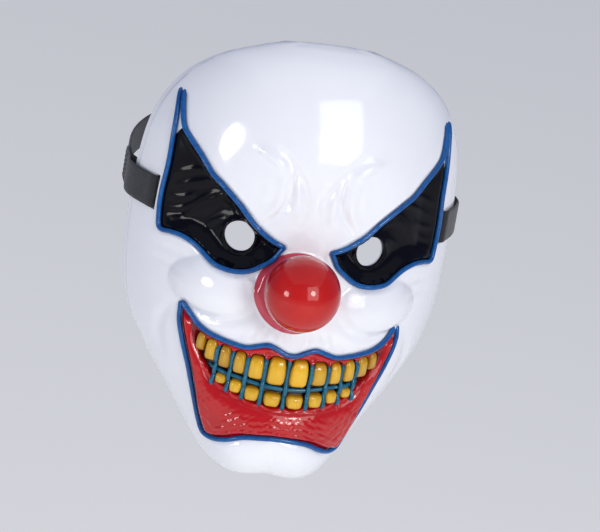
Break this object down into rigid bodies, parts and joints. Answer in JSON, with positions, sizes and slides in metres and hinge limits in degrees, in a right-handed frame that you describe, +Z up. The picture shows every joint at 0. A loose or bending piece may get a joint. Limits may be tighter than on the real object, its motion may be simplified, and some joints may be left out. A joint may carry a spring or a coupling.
{
  "type": "clown mask",
  "caption": "Moulded face mask with a ball nose, wide toothed grin, light-wire outlines and an elastic head strap.",
  "frame": {"origin": "wearer's nose bridge on the midline at eye level, where the inside of the mask rests on the face", "axes": "+Z up the face to the forehead; the mask looks along -Y and the wearer's head is on its +Y side; +X towards the wearer's left eye"},
  "size_m": [0.1616, 0.2325, 0.2085],
  "materials": {
    "white_plastic": "glossy white moulded plastic, lacquered black round the eyes, red on the lips and yellow on the teeth",
    "red_plastic": "glossy red moulded plastic",
    "outline_wire": "clear blue PVC sleeve over a light wire, unlit",
    "tooth_wire": "teal blue PVC sleeve over a thin light wire, unlit",
    "black_elastic": "flat woven elastic, black"
  },
  "bodies": {
    "root": {"shell": "white_plastic", "nose": "red_plastic", "strap": "black_elastic", "eye_wire_left": "outline_wire", "eye_wire_right": "outline_wire", "mouth_wire": "outline_wire", "bite_wire": "tooth_wire", "tooth_wire_1": "tooth_wire", "tooth_wire_2": "tooth_wire", "tooth_wire_3": "tooth_wire", "tooth_wire_4": "tooth_wire", "tooth_wire_5": "tooth_wire", "tooth_wire_6": "tooth_wire", "tooth_wire_7": "tooth_wire", "tooth_wire_8": "tooth_wire", "tooth_wire_9": "tooth_wire"}
  },
  "joints": []
}
